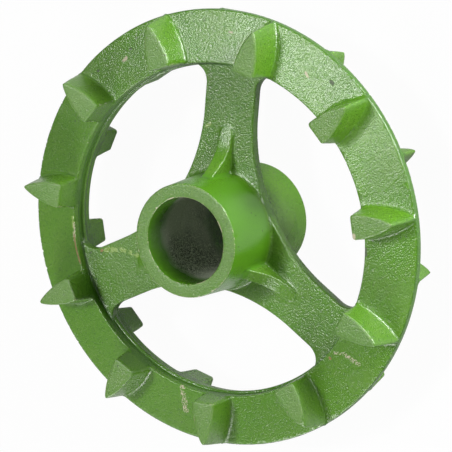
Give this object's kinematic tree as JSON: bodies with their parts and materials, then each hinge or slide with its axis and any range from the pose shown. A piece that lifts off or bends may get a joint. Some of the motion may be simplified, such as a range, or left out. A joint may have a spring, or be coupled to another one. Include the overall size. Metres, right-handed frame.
{
  "type": "crosskill roller ring",
  "caption": "Cast iron ring of a clod-breaking land roller: wedge rim with pointed cams on both faces, flat spokes with gusset ribs and a long plain-bored hub, painted green.",
  "frame": {"origin": "middle of the bore, on the ring's axis, in the mid-plane of the spokes", "axes": "+Z along the bore axis, up as the ring lies on one end of its hub; +X along the first spoke and a cam of the upper face"},
  "size_m": [0.3499, 0.35, 0.1128],
  "materials": {
    "green_paint": "glossy enamel over rough sand-cast iron, chipped and lightly rusted"
  },
  "bodies": {
    "root": {"roller_ring": "green_paint"}
  },
  "joints": []
}
